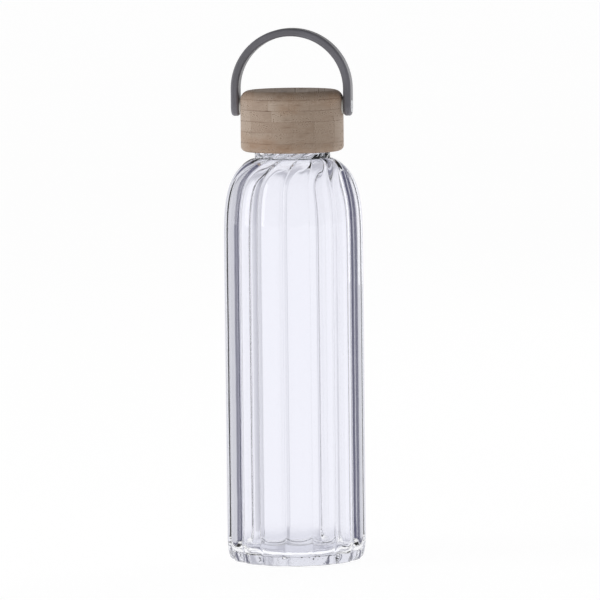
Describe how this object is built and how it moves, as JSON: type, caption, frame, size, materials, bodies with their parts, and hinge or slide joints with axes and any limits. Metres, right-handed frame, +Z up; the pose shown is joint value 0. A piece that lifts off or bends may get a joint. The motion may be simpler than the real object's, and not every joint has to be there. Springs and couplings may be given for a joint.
{
  "type": "glass water bottle",
  "caption": "Clear ribbed glass water bottle with a round shoulder, a laminated bamboo screw lid and a grey carry handle that swings on side pivots.",
  "frame": {"origin": "centre of the foot ring, on the surface the bottle stands on", "axes": "+Z up along the bottle's axis; X along the handle's pivot line; -Y is the front"},
  "size_m": [0.0642, 0.0642, 0.2481],
  "materials": {
    "glass": "clear polished borosilicate",
    "bamboo": "sanded laminated bamboo, thin matt oil",
    "liner_plastic": "moulded polypropylene",
    "silicone": "translucent silicone rubber",
    "handle_plastic": "soft-touch moulded grey",
    "screw_steel": "plain stainless steel"
  },
  "bodies": {
    "bottle": {"glass_bottle": "glass"},
    "seal": {"seal_ring": "silicone"},
    "lid": {"bamboo_shell": "bamboo", "threaded_liner": "liner_plastic", "left_pivot_screw": "screw_steel", "right_pivot_screw": "screw_steel", "left_washer": "liner_plastic", "right_washer": "liner_plastic"},
    "handle": {"carry_handle": "handle_plastic"}
  },
  "joints": [
    {"name": "lid_lift", "type": "slide", "parent": "bottle", "child": "seal", "axis": [0, 0, 1], "range_m": [0, 0.006]},
    {"name": "lid_turn", "type": "hinge", "parent": "seal", "child": "lid", "pos_m": [0, 0, 0.191], "axis": [0, 0, 1], "range_deg": [0, 540]},
    {"name": "handle_pivot", "type": "hinge", "parent": "lid", "child": "handle", "pos_m": [0, 0, 0.2118], "axis": [1, 0, 0], "range_deg": [-130, 130]}
  ],
  "couplings": [
    {"joint": "lid_lift", "follows": "lid_turn", "m_per_rad": 0.00063662}
  ]
}
